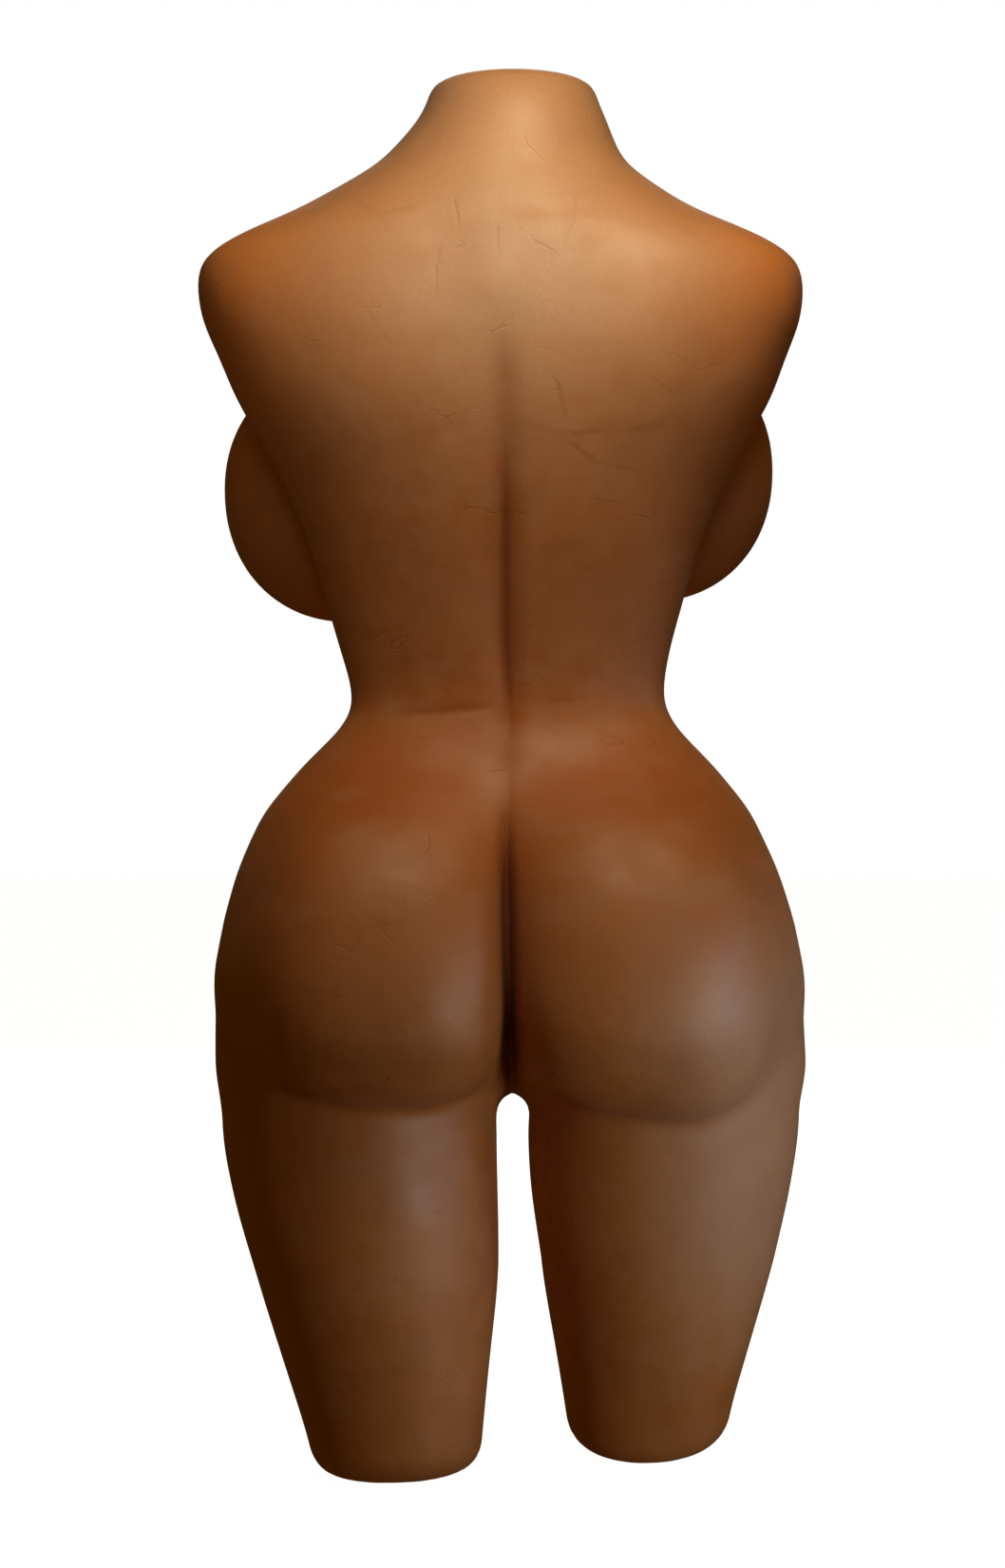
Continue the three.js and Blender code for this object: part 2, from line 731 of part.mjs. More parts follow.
// The fork on top of the thigh rod, whose ears lie either side of the yoke along y.
function thighFork(side) {
  const x = side * HIP.x;
  const low = HIP.z - SPREAD_DROP;
  const ears = [1, -1].map((s) => {
    const y = s * (EAR.gap / 2 + 2.5);
    const drop = low - THIGH_FORK_WEB;
    return union(
      rod("y", 11.5, 5, [x, y, low]),
      box(23, 5, drop, [x, y, low - drop / 2]),
    );
  });
  const web = box(23, EAR.gap + 10, 5, [x, 0, THIGH_FORK_WEB]);
  const bore = rod("y", SPREAD_PIN_R + RUNNING_GAP, 60, [x, 0, low]);
  return union(...ears, web).subtract(bore);
}

function thighRod(side) {
  const from = END_PLATE_Z + PLATE_T / 2 + WELD_GAP;
  const to = THIGH_FORK_WEB - 2.5 - WELD_GAP;
  return rod("z", THIGH_ROD_R, to - from, [side * HIP.x, 0, (from + to) / 2]);
}

function thighSkin(side) {
  const outer = thigh(side, [...heights(THIGH_TOP_Z, 28, 8), 12, 3, 0]);
  const { bottom, inset } = THIGH_CORE;
  const hollow = thigh(side, heights(THIGH_TOP_Z + 6, bottom, 4), inset, 20);
  const rodHole = rod("z", 14, THIGH_CORE.bottom, [side * HIP.x, 0, 38]);
  const plate = rod("z", 31, 8, [side * (HIP.x - 6), 0, END_PLATE_Z]);
  return outer.subtract(hollow).subtract(union(rodHole, plate));
}

function thighFoam(side) {
  const gap = RUNNING_GAP;
  const { top, bottom, inset } = THIGH_CORE;
  const levels = heights(THIGH_TOP_Z + 6, bottom, 4);
  const bore = rod("z", THIGH_ROD_R + gap, 400, [side * HIP.x, 0, 100]);
  return thigh(side, levels, inset + gap, 20)
    .subtract(beyond([0, 0, top], [0, 0, 1]))
    .subtract(beyond([0, 0, bottom + gap], [0, 0, -1]))
    .subtract(bore);
}

function buildLeg(name, side) {
  const yoke = new THREE.Group();
  const leg = new THREE.Group();
  const { flex, spread } = STANCE[name];
  yoke.applyMatrix4(legTurn(side, flex, 0));
  leg.applyMatrix4(legTurn(side, flex, spread));
  yoke.add(
    piece(`${name}_hip_yoke`, hipYoke(side), STEEL),
    piece(`${name}_hip_spread_pin`, spreadPin(side), ZINC),
    piece(`${name}_hip_spread_nut`, spreadNut(side), ZINC),
  );
  for (const [end, way] of [
    ["back", 1],
    ["front", -1],
  ]) {
    const at = [side * HIP.x, way * WASHER_AT, HIP.z - SPREAD_DROP];
    const title = `${name}_hip_${end}_spread_washer`;
    yoke.add(piece(title, washer("y", at, SPREAD_PIN_R), FIBRE));
  }
  leg.add(
    piece(`${name}_thigh_skin`, thighSkin(side), SKIN),
    piece(`${name}_thigh_foam_core`, thighFoam(side), FOAM),
    piece(`${name}_thigh_fork`, thighFork(side), STEEL),
    piece(`${name}_thigh_rod`, thighRod(side), STEEL),
    piece(
      `${name}_thigh_end_plate`,
      rod("z", 28, PLATE_T, [side * (HIP.x - 6), 0, END_PLATE_Z]),
      STEEL,
    ),
  );
  return [yoke, leg];
}

// ---------------------------------------------------------------- assembly

const mannequin = new THREE.Group();
mannequin.add(buildChest(), buildPelvis());
for (const [name, side] of SIDES) mannequin.add(...buildLeg(name, side));

// The origin goes under the middle of the box, fore and aft.
const bounds = new THREE.Box3().setFromObject(mannequin, true);
mannequin.position.y = -(bounds.min.y + bounds.max.y) / 2;
mannequin.position.z = -bounds.min.z;

export default mannequin;
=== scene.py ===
"""Looks for the soft-skin body mannequin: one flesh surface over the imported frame, cut at the joints.

The flesh is sampled from a field in body millimetres: x towards the mannequin's left, y from the hip
pins towards its back, z up from the floor, with both thighs hanging straight. It is then turned to the
rest stance and placed on the frame's joints.
"""

import json
import math

import bpy
import numpy as np
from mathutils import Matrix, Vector


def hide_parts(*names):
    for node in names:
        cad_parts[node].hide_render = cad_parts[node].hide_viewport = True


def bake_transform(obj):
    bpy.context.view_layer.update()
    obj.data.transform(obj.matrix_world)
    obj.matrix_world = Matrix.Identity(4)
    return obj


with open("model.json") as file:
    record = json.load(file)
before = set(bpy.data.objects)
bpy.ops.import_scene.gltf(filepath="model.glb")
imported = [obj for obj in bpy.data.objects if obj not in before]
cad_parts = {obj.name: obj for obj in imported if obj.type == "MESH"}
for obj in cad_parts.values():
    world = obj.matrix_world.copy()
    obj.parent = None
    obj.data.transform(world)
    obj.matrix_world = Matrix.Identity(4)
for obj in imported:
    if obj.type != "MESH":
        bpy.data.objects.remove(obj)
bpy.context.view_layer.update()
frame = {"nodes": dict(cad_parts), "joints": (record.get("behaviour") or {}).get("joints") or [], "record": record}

# ------------------------------------------------------------------ frame measures

MM = 0.001
JOINTS = {j["name"]: j for j in frame["joints"]}
PIN = JOINTS["left_hip_flexion"]["pos_m"]
HIP_Z = 310.0  # height of the hip pins in body millimetres
HIP_X = PIN[0] / MM
SPREAD_Z = HIP_Z - (PIN[2] - JOINTS["left_hip_spread"]["pos_m"][2]) / MM
WAIST_Z = HIP_Z + (JOINTS["waist_bend"]["pos_m"][2] - PIN[2]) / MM
ORIGIN = np.array([0.0, PIN[1], PIN[2] - HIP_Z * MM])
SIDES = {"left": 1, "right": -1}
# The stance at rest, in degrees from legs hanging straight: (flexion forwards, spread outwards).
STANCE = {"left": (0.0, -1.5), "right": (12.0, 2.5)}


def to_row(points):
    """Body millimetres to the row frame, in metres."""
    return points * MM + ORIGIN


# ------------------------------------------------------------------ body sections

# height, half width, depth in front, depth behind, squareness
TRUNK = [
    (893, 51.5, 36, 46, 2.0),
    (880, 55, 44, 58, 2.0),
    (864, 63, 48, 65, 2.0),
    (850, 72, 51, 69, 2.0),
    (838, 81, 53, 72, 2.0),
    (824, 103, 56, 76, 2.1),
    (806, 132, 61, 82, 2.3),
    (790, 172, 66, 87, 2.6),
    (776, 192, 70, 90, 2.85),
    (757, 194, 75, 93.5, 3.1),
    (737, 191, 81, 96.5, 3.1),
    (715, 181.5, 87, 98, 3.0),
    (690, 172, 92, 97, 2.8),
    (665, 158, 94, 93.5, 2.6),
    (630, 139, 95, 85.5, 2.35),
    (595, 125, 93, 75, 2.25),
    (560, 115, 89, 63, 2.2),
    (530, 106.5, 84, 53, 2.2),
    (508, 101, 80, 46, 2.2),
    (492, 100, 79, 44, 2.2),
    (478, 108, 81, 46, 2.2),
    (455, 130, 87, 56, 2.2),
    (424, 154, 91, 74, 2.2),
    (387, 169.5, 92, 88, 2.25),
    (350, 180.5, 92, 95, 2.3),
    (305, 185.5, 90, 94, 2.3),
    (262, 186, 83, 86, 2.3),
    (240, 183, 74, 78, 2.3),
]
# height, distance of the middle from the body's middle, half width, half depth
THIGH = [
    (330, 98, 82, 78),
    (290, 99, 85, 83),
    (250, 99, 87.5, 86),
    (214, 98, 88, 87),
    (172, 94.3, 84, 85),
    (118, 88.6, 75.5, 77),
    (64, 84.3, 64, 66),
    (28, 81, 56.5, 59),
    (0, 79.5, 52, 54),
]
# height, how far the middle of the body stands towards the mannequin's left
LEAN = [
    (893, -3.6),
    (868, -3.6),
    (846, 2),
    (812, 7),
    (780, 5),
    (690, 2.4),
    (530, 1.5),
    (485, -1.3),
    (410, 0),
    (300, -2),
    (250, -3.5),
    (0, -2),
]
NECK_TOP = 893.0
CROTCH = 243.0
SADDLE = 0.0042  # how fast the crotch rises in front of and behind its lowest line
THIGH_POWER = 2.1  # squareness of a thigh's sections
THIGH_TOP = 330.0  # where a thigh ends inside the trunk
FOOT = 1.4  # the cut ends of the thighs
FULLER_LEFT = 0.012  # the left thigh is this share wider than its table, and the right one narrower
BREAST_OUT = 3.5  # the left breast is this far outwards of the table, and the right one inwards
BREAST_DROP = 7.0  # the left breast is this far below the table, and the right one above
BREAST_TILT = 0.12  # how much a breast's front tips down for each millimetre forwards
BREAST_PIVOT = -114.0
SLOPE_BLEND = 50.0  # how much wider a breast's join to the chest is above it
LEAN_ROUND = 40.0  # height over which a rounded mass starts to lean
LEAST_REACH = 0.15  # keeps the distances finite near the middle of a section
# How far each edge or join is rounded.
NECK_ROUND = 11
CROTCH_ROUND = 26
FOOT_ROUND = 18
THIGH_TOP_ROUND = 30
THIGH_JOIN = 18
CLEFT_JOIN = 9
# Rounded masses: middle, radii with a taller one above the middle, squareness below and above, how far the
# mass leans towards the spine for its height above its middle, and the width of its join to the trunk.
BREAST = {
    "at": (104, -121, 647),
    "size": (83, 84, 87),
    "rise": 87,
    "power": 2.1,
    "crown": 2.1,
    "lean": 0.5,
    "blend": 30,
}
BUTTOCK = {
    "at": (80, 50, 316),
    "size": (84, 91, 76),
    "rise": 112,
    "power": 2.6,
    "crown": 1.9,
    "lean": 0.0,
    "blend": 50,
}


def smoothed(table, spread):
    """A table's columns at every millimetre of height, with its corners rounded."""
    rows = np.array(sorted(table), float)
    heights = np.arange(rows[0, 0] - 60, rows[-1, 0] + 60)
    kernel = np.exp(-0.5 * (np.arange(-3 * spread, 3 * spread + 1) / spread) ** 2)
    kernel /= kernel.sum()
    columns = []
    for c in range(1, rows.shape[1]):
        plain = np.interp(heights, rows[:, 0], rows[:, c])
        padded = np.pad(plain, 3 * spread, mode="edge")
        columns.append(np.convolve(padded, kernel, mode="valid"))
    return heights, columns


TRUNK_ROWS = smoothed(TRUNK, 7)
THIGH_ROWS = smoothed(THIGH, 12)
LEAN_ROWS = smoothed(LEAN, 7)


def at_height(rows, z):
    """A smoothed table's columns at each height."""
    heights, columns = rows
    return [np.interp(z, heights, column) for column in columns]


def lower(a, b, width):
    """The lower of two distances, with the valley between them rounded over a width."""
    h = np.maximum(width - np.abs(a - b), 0) / width
    return np.minimum(a, b) - h * h * width / 4


def upper(a, b, width):
    """The upper of two distances, with the ridge between them rounded over a width."""
    return -lower(-a, -b, width)


def ramp(t):
    """0 below 0, 1 above 1 and a smooth rise between them."""
    t = np.clip(t, 0, 1)
    return t * t * (3 - 2 * t)


def gentle_ramp(t):
    """A ramp that spreads a turn more evenly."""
    return (np.clip(t, 0, 1) + ramp(t)) / 2


def bump(t, spread):
    """1 at 0, falling off smoothly on both sides."""
    return np.exp(-((t / spread) ** 2))


def outside_section(x, y, half_width, depth, power):
    """Roughly how far a point lies outside a rounded section."""
    reach = (np.abs(x / half_width) ** power + np.abs(y / depth) ** power) ** (1 / power)
    return np.hypot(x, y) * (1 - 1 / np.maximum(reach, LEAST_REACH))


def outside_mass(x, y, z, mass):
    """Roughly how far a point lies outside a rounded mass."""
    middle_x, middle_y, middle_z = mass["at"]
    width, depth, height = mass["size"]
    across = x - middle_x
    up = z - middle_z
    rounded_up = (up + np.hypot(up, LEAN_ROUND)) / 2
    back = y - middle_y - mass["lean"] * rounded_up
    section = np.abs(across / width) ** mass["power"] + np.abs(back / depth) ** mass["power"]
    above = np.abs(up / mass["rise"]) ** mass["crown"]
    below = np.abs(up / height) ** mass["power"]
    reach = (section + np.where(up > 0, above, below)) ** (1 / mass["power"])
    return np.sqrt(across**2 + back**2 + up**2) * (1 - 1 / np.maximum(reach, LEAST_REACH))


# ------------------------------------------------------------------ surface detail


def waist_crease(x):
    """How deep the fold across the small of the back is, from 0 to 1."""
    left = ramp((x - 2) / 22) * ramp((92 - x) / 50)
    right = ramp((-x - 10) / 18) * ramp((62 + x) / 34)
    return left + 0.5 * right


def crease_line(x, z):
    """Height above the fold across the small of the back, which drops towards the mannequin's left."""
    return z - 492.5 + 0.09 * x


def back_detail(x, y, z):
    """Depth of the furrows of the back, less its swellings, in millimetres."""
    behind = ramp((y - 5) / 30)
    fade = ramp((z - 444) / 90)
    soft_depth = 2.4 * ramp((726 - z) / 42) + 2.8 * ramp((660 - z) / 100)
    spine = soft_depth * fade * bump(x, 9)
    sharp = 2.4 * ramp((670 - z) / 80) * ramp((z - 464) / 50) * bump(x, 3.0)
    trough = 4.5 * ramp((700 - z) / 120) * fade * bump(x, 27)
    blades = 2.4 * bump(np.abs(x) - 86, 42) * bump(z - 700, 60)
    neck_root = 2.0 * bump(x, 26) * bump(z - 800, 30) + 1.4 * bump(x, 22) * bump(z - 748, 20)
    line = crease_line(x, z)
    crease = 0.8 * waist_crease(x) * bump(line, 4.0)
    roll = 0.6 * waist_crease(x) * bump(line + 14, 13)
    dimples = 0.6 * bump(np.abs(x) - 38, 16) * bump(z - 457, 16)
    return behind * (spine + sharp + trough - blades - neck_root + crease - roll + dimples)


def hollow(p):
    """How far each point lies down in a crease, from 0 to 1, for the painted shade that darkens the skin in its
    creases and navel.
    """
    x = p[:, 0] - at_height(LEAN_ROWS, p[:, 2])[0]
    y, z = p[:, 1], p[:, 2]
    behind = ramp((y + 5) / 45)
    seat = ramp((454 - z) / 60) * ramp((z - 225) / 25) * bump(x - 1, 5.5)
    spine = 0.34 * ramp((728 - z) / 36) * ramp((z - 428) / 34) * bump(x, 9)
    sharp = 0.55 * ramp((670 - z) / 80) * ramp((z - 464) / 40) * bump(x, 2.6)
    waist = 0.5 * waist_crease(x) * bump(crease_line(x, z), 2.6)
    ahead = ramp((-y - 5) / 30)
    return np.clip(behind * (seat + spine + sharp + waist) + 0.7 * ahead * navel(x, z), 0, 1)


def navel(x, z):
    return bump(x, 5.5) * bump(z - 462, 8)


def front_detail(x, y, z):
    """Depth of the hollows of the front, less its swellings, in millimetres."""
    ahead = ramp((-y - 5) / 30)
    ax = np.abs(x)
    middle = 2.2 * bump(x, 16) * ramp((610 - z) / 50) * ramp((z - 440) / 40)
    breastbone = 3.0 * bump(x, 15) * ramp((800 - z) / 30) * ramp((z - 600) / 60)
    throat = 3.6 * bump(x, 15) * bump(z - 816, 12)
    collar = 4.0 * bump(z - 806 + 0.07 * (ax - 30), 7) * ramp((ax - 12) / 20) * ramp((140 - ax) / 60)
    above_collar = 2.5 * bump(z - 824 + 0.07 * (ax - 30), 9) * ramp((ax - 20) / 20) * ramp((95 - ax) / 40)
    belly = 3.5 * bump(x, 60) * bump(z - 405, 45)
    groin_line = z - 262 - 0.62 * ax
    groin = 2.2 * bump(groin_line, 9) * ramp((ax - 28) / 40) * ramp((150 - ax) / 50)
    hip_bone = 2.0 * bump(ax - 128, 26) * bump(z - 418, 30)
    hollows = 9.0 * navel(x, z) + middle + breastbone + throat + above_collar + groin
    return ahead * (hollows - collar - belly - hip_bone)


def cleft(x, y, z):
    """Depth of the line between the buttocks."""
    behind = ramp((y + 5) / 45)
    wide = 7.0 * ramp((446 - z) / 90) * bump(x - 1.0, 11)
    narrow = 8.0 * ramp((428 - z) / 80) * bump(x - 1.0, 4.0)
    return behind * (wide + narrow)


def flesh(p):
    """Roughly how far points lie outside the flesh, in millimetres; negative inside."""
    x, y, z = p[:, 0], p[:, 1], p[:, 2]
    x = x - at_height(LEAN_ROWS, z)[0]
    ax = np.abs(x)
    left = np.tanh(x / 40)  # 1 on the mannequin's left, -1 on its right
    width, front, back, power = at_height(TRUNK_ROWS, z)
    depth = np.where(y < 0, front, back)
    trunk = outside_section(x, y, width, depth, power)
    trunk = upper(trunk, z - NECK_TOP, NECK_ROUND)
    saddle = CROTCH + SADDLE * y * y - z
    trunk = upper(trunk, saddle, CROTCH_ROUND)

    middle, half_width, half_depth = at_height(THIGH_ROWS, z)
    half_width = half_width * (1 + FULLER_LEFT * left)
    thigh = outside_section(ax - middle, y, half_width, half_depth, THIGH_POWER)
    thigh = upper(thigh, FOOT - z, FOOT_ROUND)
    thigh = upper(thigh, z - THIGH_TOP, THIGH_TOP_ROUND)
    body = lower(trunk, thigh, THIGH_JOIN)

    tipped = z + BREAST_TILT * (y - BREAST_PIVOT) + BREAST_DROP * left
    breast = outside_mass(ax - BREAST_OUT * left, y, tipped, BREAST)
    slope_up = ramp((z - 655) / 70) * ramp((-y - 40) / 40) * ramp((160 - ax) / 45)
    body = lower(body, breast, BREAST["blend"] + SLOPE_BLEND * slope_up)
    buttock = outside_mass(ax, y, z, BUTTOCK)
    join = CLEFT_JOIN + (BUTTOCK["blend"] - CLEFT_JOIN) * ramp((z - 250) / 80)
    body = lower(body, buttock, join)
    return body + back_detail(x, y, z) + front_detail(x, y, z) + cleft(x, y, z)


# ------------------------------------------------------------------ surface from the field

CELL = 4.5  # grid that the flesh is sampled on, in millimetres
# For x, y and z: where the grid starts and ends, and the stretches in which its spacing is halved.
GRID = [
    (-206.0, 206.0, [(-17, 17), (-9, 9)]),
    (-222.0, 168.0, []),
    (-12.0, 906.0, [(478, 498), (236, 266)]),
]
CORNERS = np.array([[a, b, c] for c in (0, 1) for b in (0, 1) for a in (0, 1)])
EDGES = [
    (i, j)
    for i in range(8)
    for j in range(i + 1, 8)
    if np.abs(CORNERS[i] - CORNERS[j]).sum() == 1
]


def grid_lines(low, high, fine):
    """Evenly spaced grid lines, with each stretch in fine halved."""
    lines = np.arange(low, high + CELL, CELL)
    for start, end in fine:
        middles = (lines[1:] + lines[:-1]) / 2
        lines = np.sort(np.append(lines, middles[(middles > start) & (middles < end)]))
    return lines


def sample_grid(axes):
    """The field at every point of the grid, worked out a few layers at a time."""
    values = np.empty([len(lines) for lines in axes], np.float32)
    slab = 12
    for start in range(0, len(axes[2]), slab):
        zs = axes[2][start : start + slab]
        grid = np.stack(np.meshgrid(axes[0], axes[1], zs, indexing="ij"), -1)
        values[:, :, start : start + slab] = flesh(grid.reshape(-1, 3)).reshape(grid.shape[:3])
    return values


def surface_net(axes, values):
    """Points and quads of the surface where the values cross zero, one point for each crossed cell."""
    inside = values < 0
    shape = np.array(values.shape) - 1
    filled = sum(
        inside[a : a + shape[0], b : b + shape[1], c : c + shape[2]].astype(np.int8)
        for a, b, c in CORNERS
    )
    crossed = (filled > 0) & (filled < 8)
    cells = np.argwhere(crossed)
    index = np.full(shape, -1, np.int64)
    index[crossed] = np.arange(len(cells))

    corner_values = np.stack([values[tuple((cells + c).T)] for c in CORNERS], 1)
    total = np.zeros((len(cells), 3))
    count = np.zeros(len(cells))
    for i, j in EDGES:
        a, b = corner_values[:, i], corner_values[:, j]
        cut = (a < 0) != (b < 0)
        t = np.where(cut, a / np.where(cut, a - b, 1), 0)
        spot = CORNERS[i] + t[:, None] * (CORNERS[j] - CORNERS[i])
        total += spot * cut[:, None]
        count += cut
    share = total / count[:, None]
    starts = np.stack([lines[cells[:, c]] for c, lines in enumerate(axes)], 1)
    sizes = np.stack([np.diff(lines)[cells[:, c]] for c, lines in enumerate(axes)], 1)
    points = starts + share * sizes

    quads = []
    steps = np.eye(3, dtype=int)
    for axis in range(3):
        u, v = steps[(axis + 1) % 3], steps[(axis + 2) % 3]
        low = [slice(1, n) for n in shape]
        here = inside[tuple(low)]
        ahead = [slice(1 + s, n + s) for s, n in zip(steps[axis], shape)]
        there = inside[tuple(ahead)]
        for wanted, order in ((True, (0, 1, 2, 3)), (False, (3, 2, 1, 0))):
            spots = np.argwhere((here == wanted) & (there != wanted)) + 1
            ring = [spots - u - v, spots - v, spots, spots - u]
            corners = np.stack([index[tuple(cell.T)] for cell in ring], 1)
            quads.append(corners[:, order])
    return points, np.concatenate(quads)


def slope(points):
    """The field's gradient, from points a small step to each side."""
    h = 0.4
    parts = []
    for c in range(3):
        step = np.zeros(3)
        step[c] = h
        parts.append((flesh(points + step) - flesh(points - step)) / (2 * h))
    return np.stack(parts, 1)


def settle(points):
    """Moves points on to the zero of the field, by less than a cell."""
    start = points.copy()
    for _ in range(3):
        gradient = slope(points)
        size = np.maximum((gradient**2).sum(1), 0.15)
        points = points - gradient * (flesh(points) / size)[:, None]
        moved = points - start
        length = np.linalg.norm(moved, axis=1)
        points = start + moved * np.minimum(1, CELL / np.maximum(length, 1e-9))[:, None]
    return points


# ------------------------------------------------------------------ joint zones

FOLD_START = 238.0  # a thigh's flesh starts to turn at this height at the crotch
FOLD_RISE = 0.80  # how much higher it starts for each millimetre outwards
FOLD_TILT = 0.30  # and for each millimetre forwards at the side of the hip
FOLD_END = 130.0  # the thigh's flesh is rigid below this height
FLEXION_SHARE = (0.3, 0.58)  # least and most of the turning height that flexion takes; spread has the rest
WAIST_ZONE = (WAIST_Z - 52, WAIST_Z + 48)  # the torso's weights move from the pelvis to the chest between these heights


def zone_top(side, x, y):
    """Height at which a thigh's flesh starts to turn: low at the crotch, high at the side of the hip."""
    out = np.maximum(side * x, 0)
    return FOLD_START + FOLD_RISE * out - FOLD_TILT * y * ramp(out / 80)


def leg_zone(side, p):
    """How far each point lies through the thigh's two turning zones: 0 to 1 flexion, 1 to 2 spread."""
    x, y, z = p.T
    top = zone_top(side, x, y)
    through = (top - z) / (top - FOLD_END)
    # Each joint takes more of the height where the flesh lies further from its axis.
    fold = np.abs(y) * 1.05 + 12
    sway = np.abs(side * x - HIP_X) * 0.55
    share = np.clip(fold / (fold + sway), *FLEXION_SHARE)
    first = through / share
    second = 1 + (through - share) / (1 - share)
    return np.clip(np.where(through < share, first, second), 0, 2)


def rotate(points, pivot, axis, degrees):
    """Turns each point about a line by its own angle."""
    angle = np.radians(degrees)[:, None]
    n = np.array(axis, float) / np.linalg.norm(axis)
    p = points - pivot
    along = (p @ n)[:, None] * n
    return pivot + along + (p - along) * np.cos(angle) + np.cross(n, p) * np.sin(angle)


def take_stance(points, zones):
    """The straight-legged flesh turned to its stance at rest."""
    for name, side in SIDES.items():
        flexion, spread = STANCE[name]
        flex_share = ramp(zones[name])
        spread_share = gentle_ramp(zones[name] - 1)
        points = rotate(points, (side * HIP_X, 0, SPREAD_Z), (0, -side, 0), spread * spread_share)
        points = rotate(points, (side * HIP_X, 0, HIP_Z), (-1, 0, 0), flexion * flex_share)
    return points


# ------------------------------------------------------------------ pieces of flesh

WALL = 5.0  # thickness of each piece's shell
# Each piece lies between two bodies.
PIECES = {"torso": ("pelvis", "chest")}
for name in SIDES:
    PIECES[f"{name}_hip"] = ("pelvis", f"{name}_hip_swivel")
    PIECES[f"{name}_thigh"] = (f"{name}_hip_swivel", f"{name}_thigh")


def vertex_normals(points, quads):
    """Normals of the whole flesh, so that its pieces meet without a visible seam."""
    a, b, c, d = (points[quads[:, i]] for i in range(4))
    face = np.cross(c - a, d - b)
    normals = np.zeros_like(points)
    for i in range(4):
        np.add.at(normals, quads[:, i], face)
    return normals / np.maximum(np.linalg.norm(normals, axis=1), 1e-12)[:, None]


def shell(name, points, rest_points, normals, quads, weights):
    """A closed shell under some of the quads, as an object with a blend weight for each vertex."""
    used = np.unique(quads)
    local = np.full(len(points), -1)
    local[used] = np.arange(len(used))
    outer = local[quads]
    n = len(used)
    inner = outer[:, ::-1] + n
    edges = np.concatenate([outer[:, [i, (i + 1) % 4]] for i in range(4)])
    keys = edges[:, 0] * n + edges[:, 1]
    back = edges[:, 1] * n + edges[:, 0]
    rim_edges = edges[~np.isin(keys, back)]
    rim = np.stack([rim_edges[:, 1], rim_edges[:, 0], rim_edges[:, 0] + n, rim_edges[:, 1] + n], 1)
    faces = np.concatenate([outer, inner, rim])
    skin, facing = points[used], normals[used]
    vertices = to_row(np.concatenate([skin, skin - facing * WALL]))

    mesh = bpy.data.meshes.new(name)
    mesh.from_pydata(vertices.tolist(), [], faces.tolist())
    mesh.polygons.foreach_set("use_smooth", np.ones(len(faces), bool))
    corner_normals = np.concatenate([facing, -facing])[faces]
    rim_start = len(outer) + len(inner)
    sides = vertices[faces[rim_start:]]
    rim_facing = np.cross(sides[:, 2] - sides[:, 0], sides[:, 3] - sides[:, 1])
    rim_facing /= np.maximum(np.linalg.norm(rim_facing, axis=1), 1e-12)[:, None]
    corner_normals[rim_start:] = rim_facing[:, None, :]
    mesh.normals_split_custom_set(corner_normals.reshape(-1, 3).tolist())
    rest = rest_points[used]
    place = mesh.attributes.new("body_mm", "FLOAT_VECTOR", "POINT")
    place.data.foreach_set("vector", np.concatenate([rest, rest]).astype(np.float32).ravel())
    # painted shade: the darkening of the skin in its creases, kept as an attribute
    depth = hollow(rest)
    dark = mesh.attributes.new("hollow", "FLOAT", "POINT")
    dark.data.foreach_set("value", np.concatenate([depth, depth]).astype(np.float32))
    mesh.update()
    piece = bpy.data.objects.new(name, mesh)
    bpy.context.scene.collection.objects.link(piece)
    return piece, np.concatenate([weights[used], weights[used]])


def bend(piece, weights, a, b):
    """Bakes a piece's placement into its mesh; the weights and the bodies a and b are not used."""
    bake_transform(piece)


def turning_zones(points):
    """How far each point lies through the turning zones of each side's thigh."""
    zones = {}
    for name, side in SIDES.items():
        zones[name] = np.where(side * points[:, 0] > 0, leg_zone(side, points), 0)
    return zones


def divide(quads, zones):
    """The number in PIECES of the piece that each quad belongs to."""
    keys = list(PIECES)
    owner = np.zeros(len(quads), int)
    for name in SIDES:
        through = zones[name][quads].mean(1)
        owner[through > 0] = keys.index(f"{name}_hip")
        owner[through > 1] = keys.index(f"{name}_thigh")
    return owner


def share_of_second(key, points, zones):
    """The weight of each point of a piece towards the second of its two bodies."""
    if key == "torso":
        return ramp((points[:, 2] - WAIST_ZONE[0]) / (WAIST_ZONE[1] - WAIST_ZONE[0]))
    name, part = key.split("_")
    return ramp(zones[name]) if part == "hip" else gentle_ramp(zones[name] - 1)


def corners_of(quads, count):
    """Which of the points are corners of the quads."""
    used = np.zeros(count, bool)
    used[quads] = True
    return used


def build_flesh():
    """The flesh at rest, cut into pieces at the joints."""
    axes = [grid_lines(*run) for run in GRID]
    points, quads = surface_net(axes, sample_grid(axes))
    points = settle(points)
    zones = turning_zones(points)
    posed = take_stance(points, zones)
    normals = vertex_normals(posed, quads)
    owner = divide(quads, zones)

    made = {}
    for number, (key, bodies) in enumerate(PIECES.items()):
        own = quads[owner == number]
        weights = share_of_second(key, points, zones)
        for other, other_key in enumerate(PIECES):
            if other != number:
                seam = corners_of(own, len(points)) & corners_of(quads[owner == other], len(points))
                weights[seam] = 1.0 if other_key == key.replace("_hip", "_thigh") else 0.0
        piece, piece_weights = shell(f"flesh_{key}", posed, points, normals, own, weights)
        bend(piece, piece_weights, *bodies)
        made[key] = piece
    return made


# ------------------------------------------------------------------ materials


def new_material(name):
    """An empty node material with a principled shader."""
    material = bpy.data.materials.new(name)
    material.use_nodes = True
    tree = material.node_tree
    tree.nodes.clear()
    output = tree.nodes.new("ShaderNodeOutputMaterial")
    shader = tree.nodes.new("ShaderNodeBsdfPrincipled")
    tree.links.new(shader.outputs["BSDF"], output.inputs["Surface"])
    return material, tree, shader


